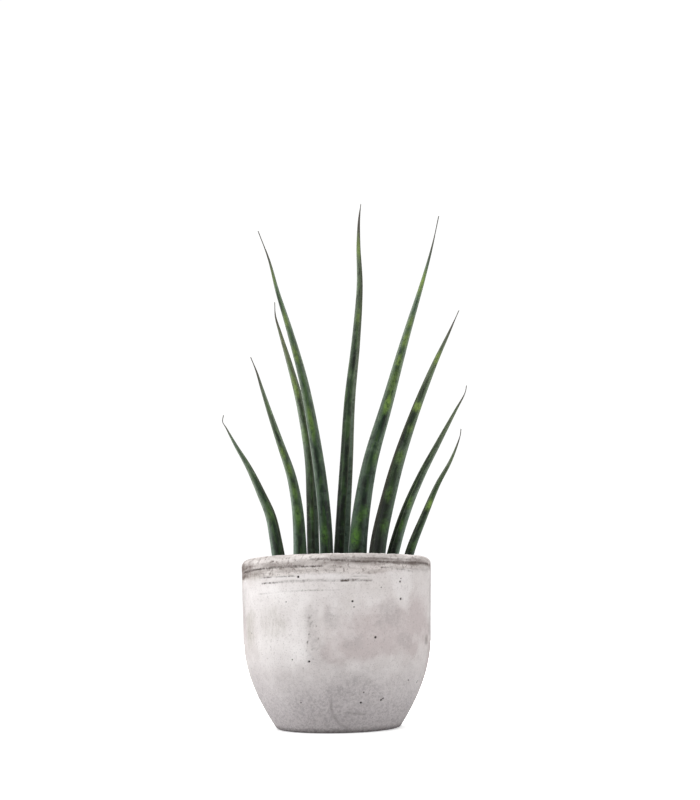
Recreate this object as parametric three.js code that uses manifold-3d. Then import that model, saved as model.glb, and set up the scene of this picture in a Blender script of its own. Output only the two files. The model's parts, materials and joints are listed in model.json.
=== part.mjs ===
// A fernwood snake plant, with slender channelled leaves, growing in a cast concrete pot.
// Millimetres, +Z up. The origin is the centre of the pot's flat base, -Y faces the viewer and +X is right.
import * as THREE from 'three';
import { mergeVertices } from 'three/addons/utils/BufferGeometryUtils.js';
import Module from 'manifold-3d';

const wasm = await Module();
wasm.setup();

// The pot's outside: a nearly straight wall that draws in to a small base below the shoulder
const POT_HEIGHT = 120;
const RIM_RADIUS = 70.4;
const SHOULDER_RADIUS = 68.2;
const SHOULDER_HEIGHT = 62;
const BASE_RADIUS = 44;
const DRAW_IN_POWER = 1.85;
const RIM_OUTER_ROUND = 5;
const RIM_INNER_ROUND = 2.5;
const BASE_ROUND = 1.5;

// The pot's inside
const MOUTH_RADIUS = 60.5;
const CAVITY_RADIUS = 60;
const CAVITY_SHOULDER = 64;
const CAVITY_FLOOR_RADIUS = 38;
const FLOOR_THICKNESS = 12;

// The soil that fills the pot to a little below its rim
const SOIL_LEVEL = 106;
const SOIL_MOUND = 1.6;
const CRUMB_HEIGHT = 0.8;
const GAP = 0.35;
const HOLE_CLEARANCE = 0.6;
const HOLE_TOP = 9;

// How finely the round shapes are faceted
const POT_SIDES = 60;
const ROUND_STEPS = 4;
const LOWER_STEPS = 8;
const SOIL_RINGS = 8;
const HOLE_SIDES = 12;
const HOLE_RINGS = 3;
const LEAF_RINGS = 21;
const LEAF_BACK_STEPS = 10;

// Every leaf: a nearly round section with a V channel along the side that faces the plant's middle
const TIP_WIDTH = 0.7;
const CHANNEL_HALF_ANGLE = THREE.MathUtils.degToRad(28);
const CHANNEL_DEPTH = 0.32;
const CHANNEL_FADE = 0.12;
const FLANK_SAG = 0.06;

// Each leaf's own measures, from left to right as seen from the front.
// width is its thickness at the soil. belly and point shape its taper: a higher belly keeps it thick for longer,
// and a higher point draws its end out finer. faces is the compass bearing of its channel at the foot and at
// the tip, in degrees from -Y towards +X. path is its centre line, as x, y and height above the soil.
const LEAVES = [
  {
    name: 'leaf_1', width: 10.2, belly: 1.45, point: 1.05, faces: [70, 75],
    path: [[-39, 6, -26], [-41, 6.5, 0], [-45.5, 8, 29.5], [-49.5, 10.5, 48], [-57.3, 13, 66.5],
      [-66.5, 16, 86], [-77.8, 20, 105.5], [-85.1, 22.8, 119], [-88, 24, 124.2], [-87.5, 25, 129.5]],
  },
  {
    name: 'leaf_2', width: 10.9, belly: 1, point: 0.78, faces: [100, 105],
    path: [[-25.5, -14, -26], [-26, -14.5, 0], [-26.5, -17, 29], [-28, -20.5, 51], [-31.9, -25.5, 73],
      [-39.5, -31, 96], [-47.2, -37.5, 119], [-52.6, -43, 136], [-56, -46.5, 147], [-60, -50, 157]],
  },
  {
    name: 'leaf_3', width: 9.5, belly: 2, point: 0.9, faces: [45, 60],
    path: [[-16.5, 12, -26], [-17, 13.5, 0], [-17.5, 15.5, 30], [-18, 18.5, 60.5], [-19.6, 22, 94],
      [-26.9, 28.5, 138.5], [-35.5, 34.5, 173], [-43.4, 39.5, 201], [-47.3, 42.5, 216], [-48, 45, 228.5]],
  },
  {
    name: 'leaf_4', width: 9.9, belly: 1.9, point: 1.02, faces: [105, 115],
    path: [[-6.5, -8, -26], [-7, -9, 0], [-7.5, -11.5, 34], [-10.5, -16.5, 70], [-16, -23.5, 109],
      [-22.6, -31.5, 144], [-31.8, -40, 178.5], [-40.5, -47.5, 207], [-46.5, -54, 230], [-54, -60, 250]],
  },
  {
    name: 'leaf_5', width: 12.8, belly: 0.9, point: 0.62, faces: [40, 80],
    path: [[2, 15, -26], [3, 15.5, 0], [5.6, 18, 42], [9.1, 22.5, 92], [12.5, 28, 141],
      [18.5, 35.5, 192], [22.7, 43.5, 242], [22.5, 49, 279], [23.6, 54, 304], [25.5, 58, 320]],
  },
  {
    name: 'leaf_6', width: 14, belly: 1.4, point: 1.1, faces: [230, 235],
    path: [[14, -7, -26], [15, -9, 0], [16.5, -12, 27], [20.5, -16.5, 56], [26.5, -22.5, 84.5],
      [39, -32.5, 124.5], [52.7, -45.5, 169.5], [67.2, -60, 214], [73.4, -67, 235.5], [77.7, -75, 254]],
  },
  {
    name: 'leaf_7', width: 12.5, belly: 1.4, point: 0.9, faces: [285, 275],
    path: [[25.5, -18.5, -26], [28, -18, 0], [31.5, -17.5, 26], [38.5, -19, 55], [47, -22, 84],
      [60, -27, 119.5], [75.1, -33, 154.5], [86.5, -37, 177.7], [94, -40, 193.5]],
  },
  {
    name: 'leaf_8', width: 9.4, belly: 1.3, point: 0.86, faces: [300, 330],
    path: [[33, 11.5, -26], [38.5, 12.5, 0], [46.2, 15, 28.5], [55.3, 19.5, 53.5], [67.3, 25.5, 79],
      [82, 33, 105.5], [97.6, 41.5, 133], [107.3, 47.5, 150], [109.1, 50, 156.5]],
  },
  {
    name: 'leaf_9', width: 7.4, belly: 1.2, point: 0.82, faces: [285, 280],
    path: [[43, -4, -26], [49.5, -4.5, 0], [55.8, -5.5, 21], [65.7, -9, 44], [76.3, -13, 67],
      [86.4, -16.5, 84.5], [93.5, -20.5, 102], [94.2, -22, 107]],
  },
];

const concrete = new THREE.MeshStandardMaterial({ color: '#c9c2be', roughness: 0.85, metalness: 0 });
const earth = new THREE.MeshStandardMaterial({ color: '#3a2c22', roughness: 1, metalness: 0 });
const foliage = new THREE.MeshStandardMaterial({ color: '#4a5a44', roughness: 0.5, metalness: 0 });

// Closed skin over a stack of rings, each running anticlockwise as seen from the stack's far end
function skin(rings) {
  const sides = rings[0].length;
  const points = rings.flat();
  const nearCentre = points.push(centreOf(rings[0])) - 1;
  const farCentre = points.push(centreOf(rings.at(-1))) - 1;
  const lastRing = (rings.length - 1) * sides;
  const faces = [];
  for (let k = 0; k < sides; k += 1) {
    const next = (k + 1) % sides;
    faces.push(nearCentre, next, k);
    faces.push(farCentre, lastRing + k, lastRing + next);
    for (let start = 0; start < lastRing; start += sides) {
      faces.push(start + k, start + next, start + sides + next);
      faces.push(start + k, start + sides + next, start + sides + k);
    }
  }
  const geometry = new THREE.BufferGeometry().setFromPoints(points);
  geometry.setIndex(faces);
  return geometry;
}

function centreOf(ring) {
  const centre = new THREE.Vector3();
  for (const point of ring) {
    centre.addScaledVector(point, 1 / ring.length);
  }
  return centre;
}

function toSolid(geometry) {
  const bare = geometry.clone();
  bare.deleteAttribute('normal');
  bare.deleteAttribute('uv');
  const merged = mergeVertices(bare, 1e-4);
  return new wasm.Manifold(new wasm.Mesh({
    numProp: 3,
    vertProperties: new Float32Array(merged.attributes.position.array),
    triVerts: new Uint32Array(merged.index.array),
  }));
}

function toGeometry(solid) {
  const mesh = solid.getMesh();
  const geometry = new THREE.BufferGeometry();
  geometry.setAttribute('position', new THREE.BufferAttribute(new Float32Array(mesh.vertProperties), 3));
  geometry.setIndex(new THREE.BufferAttribute(new Uint32Array(mesh.triVerts), 1));
  geometry.computeVertexNormals();
  return geometry;
}

// A wall radius that runs straight above the shoulder and curves in below it
function drawnIn(z, floor, shoulder, floorRadius, shoulderRadius) {
  const drop = Math.max(0, (shoulder - z) / (shoulder - floor));
  return shoulderRadius - (shoulderRadius - floorRadius) * drop ** DRAW_IN_POWER;
}

function outerRadius(z) {
  const flare = Math.max(0, (z - SHOULDER_HEIGHT) / (POT_HEIGHT - SHOULDER_HEIGHT));
  return drawnIn(z, 0, SHOULDER_HEIGHT, BASE_RADIUS, SHOULDER_RADIUS) + flare * (RIM_RADIUS - SHOULDER_RADIUS);
}

function cavityRadius(z) {
  const flare = Math.max(0, (z - CAVITY_SHOULDER) / (POT_HEIGHT - CAVITY_SHOULDER));
  const wall = drawnIn(z, FLOOR_THICKNESS, CAVITY_SHOULDER, CAVITY_FLOOR_RADIUS, CAVITY_RADIUS);
  return wall + flare * (MOUTH_RADIUS - CAVITY_RADIUS);
}

function heights(from, to, steps) {
  return Array.from({ length: steps + 1 }, (_, i) => THREE.MathUtils.lerp(from, to, i / steps));
}

// Points of a quarter round, from one bearing in its own plane to another
function roundCorner(centreR, centreZ, radius, fromDegrees, toDegrees) {
  return heights(fromDegrees, toDegrees, ROUND_STEPS).map((degrees) => {
    const angle = THREE.MathUtils.degToRad(degrees);
    return new THREE.Vector2(centreR + radius * Math.cos(angle), centreZ + radius * Math.sin(angle));
  });
}

function makePot() {
  const outerShoulder = POT_HEIGHT - RIM_OUTER_ROUND;
  const innerShoulder = POT_HEIGHT - RIM_INNER_ROUND;
  const outside = heights(BASE_ROUND, SHOULDER_HEIGHT, LOWER_STEPS);
  const inside = heights(CAVITY_SHOULDER, FLOOR_THICKNESS, LOWER_STEPS);
  const profile = [
    new THREE.Vector2(0, 0),
    new THREE.Vector2(BASE_RADIUS - BASE_ROUND, 0),
    ...outside.map((z) => new THREE.Vector2(outerRadius(z), z)),
    ...roundCorner(outerRadius(outerShoulder) - RIM_OUTER_ROUND, outerShoulder, RIM_OUTER_ROUND, 0, 90),
    ...roundCorner(cavityRadius(innerShoulder) + RIM_INNER_ROUND, innerShoulder, RIM_INNER_ROUND, 90, 180),
    ...inside.map((z) => new THREE.Vector2(cavityRadius(z), z)),
    new THREE.Vector2(0, FLOOR_THICKNESS),
  ];
  // the lathe turns about Y, and the pot stands along Z
  const geometry = new THREE.LatheGeometry(profile, POT_SIDES).rotateX(Math.PI / 2);
  return named('pot', geometry, concrete);
}

// Crumbly relief: a low mound with broken lumps on it
function soilRelief(x, y, radius) {
  const mound = SOIL_MOUND * (1 - 2 * (radius / CAVITY_RADIUS) ** 2);
  const lumps = Math.sin(x * 0.43 + 1.3) * Math.cos(y * 0.51 - 0.4) + 0.6 * Math.sin(0.9 * x - 0.7 * y);
  return mound + CRUMB_HEIGHT * lumps;
}

function soilRing(radius, z, relief) {
  return Array.from({ length: POT_SIDES }, (_, k) => {
    // starts in line with the lathe's first side, so that the soil's flats face the pot's
    const angle = (2 * Math.PI * k) / POT_SIDES - Math.PI / 2;
    const x = radius * Math.cos(angle);
    const y = radius * Math.sin(angle);
    return new THREE.Vector3(x, y, z + relief * soilRelief(x, y, radius));
  });
}

function makeSoil() {
  const floor = FLOOR_THICKNESS + GAP;
  const wall = heights(FLOOR_THICKNESS, CAVITY_SHOULDER, LOWER_STEPS);
  const rings = wall.map((z) => soilRing(cavityRadius(z) - GAP, Math.max(z, floor), 0));
  const surfaceRadius = cavityRadius(SOIL_LEVEL) - GAP;
  for (let i = 0; i < SOIL_RINGS; i += 1) {
    rings.push(soilRing(surfaceRadius * (1 - i / SOIL_RINGS), SOIL_LEVEL, 1));
  }
  let solid = toSolid(skin(rings));
  for (const leaf of LEAVES) {
    solid = solid.subtract(toSolid(leafHole(leaf)));
  }
  return named('soil', toGeometry(solid), earth);
}

function leafCurve(leaf) {
  const points = leaf.path.map(([x, y, height]) => new THREE.Vector3(x, y, height));
  return new THREE.CatmullRomCurve3(points);
}

// How far up the leaf a point is, from 0 at the soil to 1 at the tip
function growth(share, buriedShare) {
  return Math.max(0, (share - buriedShare) / (1 - buriedShare));
}

function buriedShareOf(leaf, curve) {
  const [foot, collar] = leaf.path.map((point) => new THREE.Vector3(...point));
  return foot.distanceTo(collar) / curve.getLength();
}

function leafWidth(leaf, grown) {
  return Math.max(TIP_WIDTH, leaf.width * (1 - grown ** leaf.belly) ** leaf.point);
}

// The outline across a leaf, as distances towards its channel and to the side of it
function leafSection(radius, channelStrength) {
  const rim = new THREE.Vector2(Math.cos(CHANNEL_HALF_ANGLE), Math.sin(CHANNEL_HALF_ANGLE));
  const flat = new THREE.Vector2(rim.x, 0);
  const keel = new THREE.Vector2(1 - 2 * CHANNEL_DEPTH, 0);
  const bottom = flat.lerp(keel, channelStrength);
  const flank = bottom.clone().add(rim).multiplyScalar(0.5);
  flank.x -= FLANK_SAG * channelStrength;
  const section = [bottom, flank, rim];
  for (let i = 1; i < LEAF_BACK_STEPS; i += 1) {
    const angle = THREE.MathUtils.lerp(CHANNEL_HALF_ANGLE, 2 * Math.PI - CHANNEL_HALF_ANGLE, i / LEAF_BACK_STEPS);
    section.push(new THREE.Vector2(Math.cos(angle), Math.sin(angle)));
  }
  section.push(new THREE.Vector2(rim.x, -rim.y));
  section.push(new THREE.Vector2(flank.x, -flank.y));
  return section.map((point) => point.multiplyScalar(radius));
}

// Sets an outline square across the curve, with its first axis towards the given bearing
function ringAcross(curve, share, bearing, section) {
  const centre = curve.getPointAt(share);
  const along = curve.getTangentAt(share);
  const towards = new THREE.Vector3(Math.sin(bearing), -Math.cos(bearing), 0);
  towards.addScaledVector(along, -towards.dot(along)).normalize();
  const across = new THREE.Vector3().crossVectors(along, towards);
  return section.map((point) => centre.clone()
    .addScaledVector(towards, point.x)
    .addScaledVector(across, point.y));
}

function makeLeaf(leaf) {
  const curve = leafCurve(leaf);
  const buriedShare = buriedShareOf(leaf, curve);
  const rings = heights(0, 1, LEAF_RINGS).map((share) => {
    const grown = growth(share, buriedShare);
    const strength = THREE.MathUtils.smoothstep(1 - grown, 0, CHANNEL_FADE);
    const bearing = THREE.MathUtils.degToRad(THREE.MathUtils.lerp(leaf.faces[0], leaf.faces[1], grown));
    return ringAcross(curve, share, bearing, leafSection(leafWidth(leaf, grown) / 2, strength));
  });
  const foot = curve.getPoint(0);
  const mesh = named(leaf.name, skin(rings).translate(-foot.x, -foot.y, -foot.z), foliage);
  mesh.position.copy(foot);
  return mesh;
}

// A plain round hole for a leaf's buried end, open at the soil's surface
function leafHole(leaf) {
  const curve = leafCurve(leaf);
  const radius = leaf.width / 2 + HOLE_CLEARANCE;
  const openShare = buriedShareOf(leaf, curve) * (1 + HOLE_TOP / Math.abs(leaf.path[0][2]));
  const circle = Array.from({ length: HOLE_SIDES }, (_, k) => {
    const angle = (2 * Math.PI * k) / HOLE_SIDES;
    return new THREE.Vector2(radius * Math.cos(angle), radius * Math.sin(angle));
  });
  const rings = heights(0, openShare, HOLE_RINGS).map((share) => ringAcross(curve, share, 0, circle));
  const below = curve.getTangentAt(0).multiplyScalar(-HOLE_CLEARANCE);
  rings[0].forEach((point) => point.add(below));
  return skin(rings).translate(0, 0, SOIL_LEVEL);
}

function named(name, geometry, material) {
  const mesh = new THREE.Mesh(geometry, material);
  mesh.name = name;
  return mesh;
}

const plant = new THREE.Group();
plant.position.z = SOIL_LEVEL;
for (const leaf of LEAVES) {
  plant.add(makeLeaf(leaf));
}

const group = new THREE.Group();
group.add(makePot(), makeSoil(), plant);

export default group;
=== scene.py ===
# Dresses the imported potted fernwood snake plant: a cast concrete pot, potting soil and nine mottled leaves.
# Lengths are millimetres until a mesh is written. +Z is up, -Y faces the viewer and +X is right.
import itertools
import json
import math
import random

import bmesh
import bpy
import numpy as np
from mathutils import Matrix, Vector

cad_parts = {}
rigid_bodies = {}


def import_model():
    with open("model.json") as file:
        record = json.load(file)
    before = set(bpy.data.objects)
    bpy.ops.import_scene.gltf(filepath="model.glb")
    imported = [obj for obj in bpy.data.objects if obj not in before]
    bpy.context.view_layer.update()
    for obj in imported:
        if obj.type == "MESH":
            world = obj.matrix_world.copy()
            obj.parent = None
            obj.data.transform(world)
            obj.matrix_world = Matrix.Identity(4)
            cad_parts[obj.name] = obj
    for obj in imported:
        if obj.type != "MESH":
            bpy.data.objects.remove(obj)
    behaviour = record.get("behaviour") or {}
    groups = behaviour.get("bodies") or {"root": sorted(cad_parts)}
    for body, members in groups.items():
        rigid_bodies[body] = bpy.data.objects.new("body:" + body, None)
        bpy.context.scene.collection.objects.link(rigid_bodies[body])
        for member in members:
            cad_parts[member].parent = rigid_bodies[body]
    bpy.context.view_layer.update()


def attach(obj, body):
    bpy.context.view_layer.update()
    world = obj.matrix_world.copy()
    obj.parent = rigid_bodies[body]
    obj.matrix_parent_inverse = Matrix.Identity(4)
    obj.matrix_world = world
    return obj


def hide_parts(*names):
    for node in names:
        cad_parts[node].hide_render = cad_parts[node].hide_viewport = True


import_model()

MM = 0.001
# A chance turn in radians is up to this
FULL_TURN = 6.28

# The pot, as in the part's source
POT_HEIGHT = 120
RIM_RADIUS = 70.4
SHOULDER_RADIUS = 68.2
SHOULDER_HEIGHT = 62
BASE_RADIUS = 44
DRAW_IN_POWER = 1.85
RIM_OUTER_ROUND = 5
RIM_INNER_ROUND = 2.5
BASE_ROUND = 1.5
MOUTH_RADIUS = 60.5
CAVITY_RADIUS = 60
CAVITY_SHOULDER = 64
CAVITY_FLOOR_RADIUS = 38
FLOOR_THICKNESS = 12
# Radii of the mesh's rings under the base and on the floor inside, and heights of those on the inner wall
BASE_RINGS = (10, 22, 33, 39)
FLOOR_RINGS = (37, 26, 12)
SHOWN_ROWS = np.arange(116, 100, -1.3)
HIDDEN_ROWS = (*np.arange(98, 13, -7), 13.5)

# The soil, as in the part's source
SOIL_LEVEL = 106
SOIL_MOUND = 1.6
CRUMB_HEIGHT = 0.8
GAP = 0.35

# The leaves' channel and tip, as in the part's source
CHANNEL_HALF = math.radians(28)
CHANNEL_DEPTH = 0.32
CHANNEL_FADE = 0.12
TIP_WIDTH = 0.7
# Each leaf from left to right. width is how thick its foot is, belly and point say how it tapers, faces is
# the bearing of its channel at the foot and the tip, and path is its centre line, with heights above the
# soil. hue runs from -1 for blue-green to 1 for brown-green. dark is painted shade: how nearly black it is
# at the shares DARK_AT of its length, mostly low down where the pot and the other leaves shade it. left and
# right are how strongly a painted sheen lights each side at the shares listed below DARK_AT, or below 0 how
# dark painted shade makes it. lime lists light blotches: how far up, the bearing they face, half their
# length, half their spread in degrees, and strength. Each has a like one behind, higher by BACK_RISE and
# spread no wider than BACK_SPREAD.
DARK_AT = (0, 0.3, 0.6, 1)
SIDE_LIGHTING_AT = (0.1, 0.5, 0.85)
BACK_RISE = 0.045
BACK_SPREAD = 60
LEAVES = [
    dict(width=10.2, belly=1.45, point=1.05, faces=(70, 75),
         path=[(-39, 6, -26), (-41, 6.5, 0), (-45.5, 8, 29.5), (-49.5, 10.5, 48), (-57.3, 13, 66.5),
               (-66.5, 16, 86), (-77.8, 20, 105.5), (-85.1, 22.8, 119), (-88, 24, 124.2), (-87.5, 25, 129.5)],
         hue=-0.4, dark=(0.2, 0, 0, 0), left=(1, 1, 0.3), right=(0.1, 0.15, 0.9),
         lime=[(0.34, -7, 0.05, 45, 0.35)]),
    dict(width=10.9, belly=1, point=0.78, faces=(100, 105),
         path=[(-25.5, -14, -26), (-26, -14.5, 0), (-26.5, -17, 29), (-28, -20.5, 51), (-31.9, -25.5, 73),
               (-39.5, -31, 96), (-47.2, -37.5, 119), (-52.6, -43, 136), (-56, -46.5, 147), (-60, -50, 157)],
         hue=-0.1, dark=(0.1, 0, 0, 0), left=(1, 0.95, 0.3), right=(0.25, 0.55, 0.8),
         lime=[(0.27, -5, 0.06, 50, 0.55), (0.38, 0, 0.04, 40, 0.5), (0.48, -10, 0.04, 50, 0.5),
               (0.56, -18, 0.035, 50, 0.55)]),
    dict(width=9.5, belly=2, point=0.9, faces=(45, 60),
         path=[(-16.5, 12, -26), (-17, 13.5, 0), (-17.5, 15.5, 30), (-18, 18.5, 60.5), (-19.6, 22, 94),
               (-26.9, 28.5, 138.5), (-35.5, 34.5, 173), (-43.4, 39.5, 201), (-47.3, 42.5, 216),
               (-48, 45, 228.5)],
         hue=0.6, dark=(0.45, 0.1, 0, 0), left=(-0.8, 1, 0.5), right=(0.75, 0.65, 0.65),
         lime=[(0.21, -8, 0.03, 30, 0.35), (0.48, -32, 0.04, 45, 0.35), (0.66, -18, 0.05, 60, 0.7)]),
    dict(width=9.9, belly=1.9, point=1.02, faces=(105, 115),
         path=[(-6.5, -8, -26), (-7, -9, 0), (-7.5, -11.5, 34), (-10.5, -16.5, 70), (-16, -23.5, 109),
               (-22.6, -31.5, 144), (-31.8, -40, 178.5), (-40.5, -47.5, 207), (-46.5, -54, 230),
               (-54, -60, 250)],
         hue=-0.5, dark=(0.25, 0.1, 0, 0), left=(0.65, 0.65, 0.5), right=(0.05, 0.6, 0.75),
         lime=[(0.12, -17, 0.03, 45, 0.6), (0.44, -8, 0.06, 40, 0.6), (0.64, -16, 0.03, 50, 0.6),
               (0.74, -13, 0.03, 50, 0.6), (0.87, -10, 0.04, 60, 0.6)]),
    dict(width=12.8, belly=0.9, point=0.62, faces=(40, 80),
         path=[(2, 15, -26), (3, 15.5, 0), (5.6, 18, 42), (9.1, 22.5, 92), (12.5, 28, 141),
               (18.5, 35.5, 192), (22.7, 43.5, 242), (22.5, 49, 279), (23.6, 54, 304), (25.5, 58, 320)],
         hue=0.1, dark=(0.4, 0, 0.15, 0), left=(-0.7, 0.15, 0.8), right=(0.7, 0.95, -0.85),
         lime=[(0.66, 10, 0.03, 40, 0.4), (0.87, 0, 0.045, 100, 0.8)]),
    dict(width=14, belly=1.4, point=1.1, faces=(230, 235),
         path=[(14, -7, -26), (15, -9, 0), (16.5, -12, 27), (20.5, -16.5, 56), (26.5, -22.5, 84.5),
               (39, -32.5, 124.5), (52.7, -45.5, 169.5), (67.2, -60, 214), (73.4, -67, 235.5),
               (77.7, -75, 254)],
         hue=-0.6, dark=(0.5, 0.15, 0, 0), left=(0.65, 0.4, 0.8), right=(0.7, 0.8, 0.85),
         lime=[(0.11, -30, 0.035, 40, 1), (0.16, -10, 0.02, 30, 0.5), (0.18, 32, 0.02, 30, 0.6),
               (0.33, 34, 0.025, 30, 0.5), (0.48, 4, 0.03, 40, 1), (0.54, 5, 0.05, 60, 0.45),
               (0.6, -8, 0.02, 50, 0.7), (0.66, 10, 0.03, 50, 0.7), (0.71, 2, 0.02, 60, 0.5),
               (0.82, -15, 0.04, 80, 1)]),
    dict(width=12.5, belly=1.4, point=0.9, faces=(285, 275),
         path=[(25.5, -18.5, -26), (28, -18, 0), (31.5, -17.5, 26), (38.5, -19, 55), (47, -22, 84),
               (60, -27, 119.5), (75.1, -33, 154.5), (86.5, -37, 177.7), (94, -40, 193.5)],
         hue=0.25, dark=(0.85, 0.5, 0.1, 0), left=(-1, -0.8, 0.9), right=(0.25, 0.7, 0.7),
         lime=[(0.18, 24, 0.03, 40, 0.4), (0.29, -9, 0.03, 40, 0.35), (0.43, 0, 0.03, 60, 0.4),
               (0.54, 20, 0.02, 50, 0.4), (0.62, 8, 0.02, 90, 1), (0.81, -2, 0.03, 90, 0.8)]),
    dict(width=9.4, belly=1.3, point=0.86, faces=(300, 330),
         path=[(33, 11.5, -26), (38.5, 12.5, 0), (46.2, 15, 28.5), (55.3, 19.5, 53.5), (67.3, 25.5, 79),
               (82, 33, 105.5), (97.6, 41.5, 133), (107.3, 47.5, 150), (109.1, 50, 156.5)],
         hue=0.3, dark=(0.05, 0, 0, 0), left=(-0.1, 0.15, 0.6), right=(1, 0.85, 0.4),
         lime=[(0.23, 8, 0.03, 35, 0.5), (0.34, 11, 0.03, 35, 0.6)]),
    dict(width=7.4, belly=1.2, point=0.82, faces=(285, 280),
         path=[(43, -4, -26), (49.5, -4.5, 0), (55.8, -5.5, 21), (65.7, -9, 44), (76.3, -13, 67),
               (86.4, -16.5, 84.5), (93.5, -20.5, 102), (94.2, -22, 107)],
         hue=0.3, dark=(0, 0, 0, 0), left=(-0.3, 0.35, 0.9), right=(0.65, 0.55, 0.3),
         lime=[(0.48, 3, 0.045, 70, 1), (0.2, 20, 0.04, 50, 0.35)]),
]

# Pinholes: bearing in degrees from the front towards +X, height and radius
PINHOLES = [
    (-22, 104.4, 0.95), (39.2, 100.5, 0.85), (39.8, 102.6, 0.55), (39.6, 88.8, 0.95), (26, 96.5, 0.5),
    (8.8, 87.4, 0.85), (9.6, 83.6, 0.5), (22.2, 63.3, 0.95), (-16.8, 48.2, 0.9), (-27.2, 49.6, 0.55),
    (15.6, 20.4, 0.9), (16.7, 27.3, 0.6), (51, 33.8, 0.65), (-38.7, 115.8, 0.7), (-61.5, 67.3, 0.7),
    (-67.7, 43, 0.6), (-30, 87.9, 0.5), (-26.3, 20.9, 0.6), (30.6, 21.6, 0.95), (31.8, 22.5, 0.8),
    (63.3, 31.7, 0.75), (63.9, 32.6, 0.6),
]
# Scored and smeared lines: points as bearing and height, half width, darkness and depth
LINES = [
    ([(-72, 110), (-59, 110.6), (-45, 111.4), (-30, 111.5), (-8, 111.2)], 0.75, 0.6, 0.25),
    ([(-70, 107.6), (-45, 108.2), (-20, 108.6), (0, 108)], 0.5, 0.25, 0.12),
    ([(-14, 116), (0, 115.2), (14.5, 113.8), (40, 113.6), (71, 113.8)], 1, 0.5, 0.15),
    ([(4, 117.2), (20, 116.4), (36, 116), (60, 116.6)], 0.6, 0.4, 0.1),
    ([(-50, 104.6), (-38, 105.4), (-24, 105)], 0.5, 0.42, 0.1),
    ([(-48, 101), (-30, 101.6), (-12, 101.6), (6, 101.4)], 0.55, 0.55, 0.16),
    ([(3, 101.5), (11, 101.6), (20, 101.4)], 0.6, 0.7, 0.16),
    ([(8, 104.2), (20, 103.8)], 0.5, 0.25, 0.08),
    ([(-52, 93.8), (-36, 94.6), (-18, 95), (2, 95.4)], 0.5, 0.24, 0.08),
    ([(26, 110), (36, 109.4), (47, 108.2), (50, 107.6)], 0.6, 0.4, 0.12),
    ([(-4.6, 22.8), (-5.2, 17), (-3.5, 11.5), (0.5, 6.5), (7, 3.4)], 1.3, 0.24, 0.3),
    ([(6.6, 14.4), (12, 13.2), (20, 12.6)], 0.9, 0.3, 0.12),
    ([(-16.4, 79), (-16, 75), (-15.4, 71)], 0.7, 0.22, 0.08),
    ([(-13.6, 76), (-14, 72.6)], 0.5, 0.15, 0.06),
    ([(-16, 66), (-17, 60), (-18, 55)], 0.6, 0.2, 0.1),
]
# Small dark marks down a streak, as bearing and height, each with the same size, darkness and depth
STREAK_MARKS = [(-14.9, 77.3), (-14.5, 73.7), (-11.3, 72), (-13.6, 71.2), (-15.7, 66.9), (-10.6, 63.3),
                (-16.9, 61), (-14.5, 55.7), (-17.4, 51.4)]
LINES += [([(bearing, z + 0.7), (bearing - 0.4, z - 0.7)], 0.4, 0.4, 0.15) for bearing, z in STREAK_MARKS]
# Soft zones: bearing, height, half width, half height and strength
ZONES = {
    "pale": [
        (-48, 88, 34, 11, 0.5), (-38, 56, 24, 16, 0.8), (-20, 66, 8, 22, 0.35), (-50, 97, 24, 7, 0.4),
        # The thin strips at heights 117.5 and 118 along the rim's top and at 104.5 under the rim band are
        # painted highlights
        (-28, 94, 20, 9, 0.5), (-30, 117.5, 40, 1.8, 0.6), (22, 118, 16, 1.4, 0.5),
        (-20, 104.5, 30, 1.2, 0.6),
    ],
    "brown": [
        (-76, 70, 9, 17, 0.6), (31, 68, 44, 19, 0.85), (12, 54, 22, 8, 0.5), (82, 44, 14, 26, 0.7),
        (60, 70, 16, 24, 0.35), (20, 109, 26, 3, 0.6),
    ],
    "olive": [(-64, 72, 9, 14, 0.7), (-40, 74, 12, 11, 0.3), (-62, 107, 18, 3, 0.6)],
    "grey": [
        (31, 78, 10, 9, 0.36), (-3, 76, 6, 7, 0.34), (9, 61, 7, 5, 0.3), (44, 61, 8, 5, 0.3),
        # The tall zone at bearing 84 is painted shade down the pot's right side, and the wide one at bearing
        # 6 and height 21 is partly grey tone and partly painted shade low on the front
        (84, 82, 13, 34, 0.6), (-14, 70, 5, 16, 0.2), (-12, 56, 7, 11, 0.22), (6, 21, 17, 14, 0.55),
        (12, 34, 20, 12, 0.22), (-22, 22, 14, 9, 0.25),
    ],
    "umber": [
        (67, 60, 4, 4.5, 0.45), (-16.5, 72, 3, 12, 0.16), (-80, 112.5, 22, 8.5, 1.25),
        (66, 113.8, 26, 5, 0.42), (20, 114.2, 30, 2.6, 0.5), (52, 114.8, 18, 2.6, 0.3),
        (-44, 113.2, 22, 1.3, 0.3), (-2, 111, 13, 3, 0.2), (5, 116.8, 16, 1, 0.25),
    ],
}
LINE_STRENGTH = 1.35
# How many marks the back gets
BACK_PINHOLES = 74
BACK_LINES = 9
BACK_ZONES = 30
# A pinhole's depth and its raised lip, as shares of its radius, and the lip's height
PIT_DEPTH = 1.25
PIT_RIM = 1.5
PIT_LIP = 0.06
# The rougher band under the rim: its lower edge as bearings and heights, and how far it is sunk
BAND_BEARINGS = (-180, -120, -76, -39, 19, 50, 75, 120, 180)
BAND_EDGE = (107, 105, 104, 106, 106, 110.5, 112, 109, 107)
BAND_SUNK = 0.16

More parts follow.
